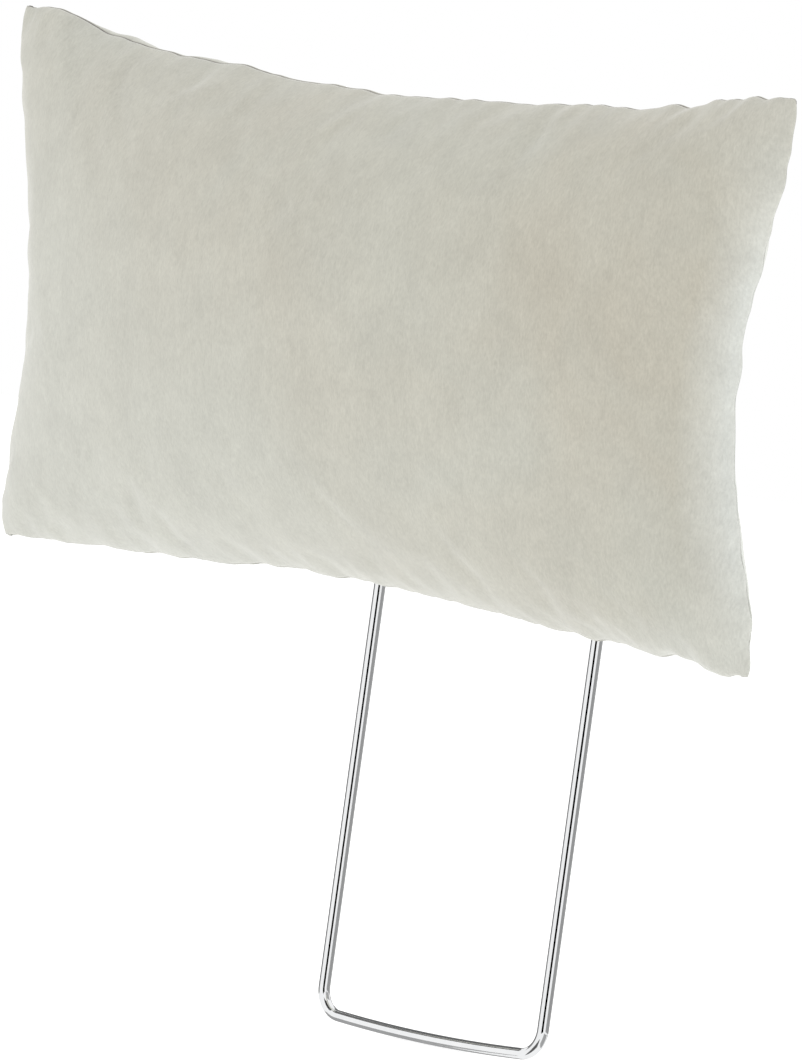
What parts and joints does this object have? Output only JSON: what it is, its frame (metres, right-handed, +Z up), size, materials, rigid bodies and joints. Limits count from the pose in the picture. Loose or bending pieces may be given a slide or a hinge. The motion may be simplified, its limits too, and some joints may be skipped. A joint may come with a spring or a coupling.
{
  "type": "slip-in headrest cushion",
  "caption": "Velvet headrest cushion with a back pocket that slides over a cranked, chromed wire loop; the loop slips behind a seat's back cushion.",
  "frame": {"origin": "middle of the wire loop's lower bar, on its centreline", "axes": "+Z up along the loop's legs, -Y towards the front of the cushion, +X to the right seen from the front"},
  "size_m": [0.59, 0.1934, 0.5385],
  "materials": {
    "chromed_wire": "polished",
    "velvet": "matte",
    "binding_tape": "matte",
    "thread": "matte",
    "inner_case": "matte",
    "fibre_wadding": "matte",
    "foam": "matte",
    "zip_tape": "matte",
    "zip_coil": "satin",
    "zip_metal": "satin",
    "label_ribbon": "satin"
  },
  "bodies": {
    "frame": {"wire_frame": "chromed_wire"},
    "cushion": {"front_panel": "velvet", "back_panel": "velvet", "back_hem": "velvet", "pocket_panel": "velvet", "pocket_binding": "binding_tape", "bar_tacks": "thread", "inner_case_front": "inner_case", "inner_case_back": "inner_case", "fibre_wrap_front": "fibre_wadding", "fibre_wrap_back": "fibre_wadding", "foam_core": "foam", "zip_tape_upper": "zip_tape", "zip_tape_lower": "zip_tape", "zip_coil_upper": "zip_coil", "zip_coil_lower": "zip_coil", "zip_top_stops": "zip_metal", "zip_bottom_stop": "zip_metal", "care_label": "label_ribbon"},
    "slider": {"zip_slider": "zip_metal"},
    "pull": {"zip_pull": "zip_metal"}
  },
  "joints": [
    {"name": "cushion_lift", "type": "slide", "parent": "frame", "child": "cushion", "axis": [0, -0.1149, 0.9934], "range_m": [0, 0.15]},
    {"name": "zip_slide", "type": "slide", "parent": "cushion", "child": "slider", "axis": [1, 0, 0], "range_m": [0, 0.345]},
    {"name": "pull_turn", "type": "hinge", "parent": "slider", "child": "pull", "pos_m": [-0.1726, -0.06831, 0.26484], "axis": [0, 0.4863, 0.8738], "range_deg": [0, 170]}
  ]
}
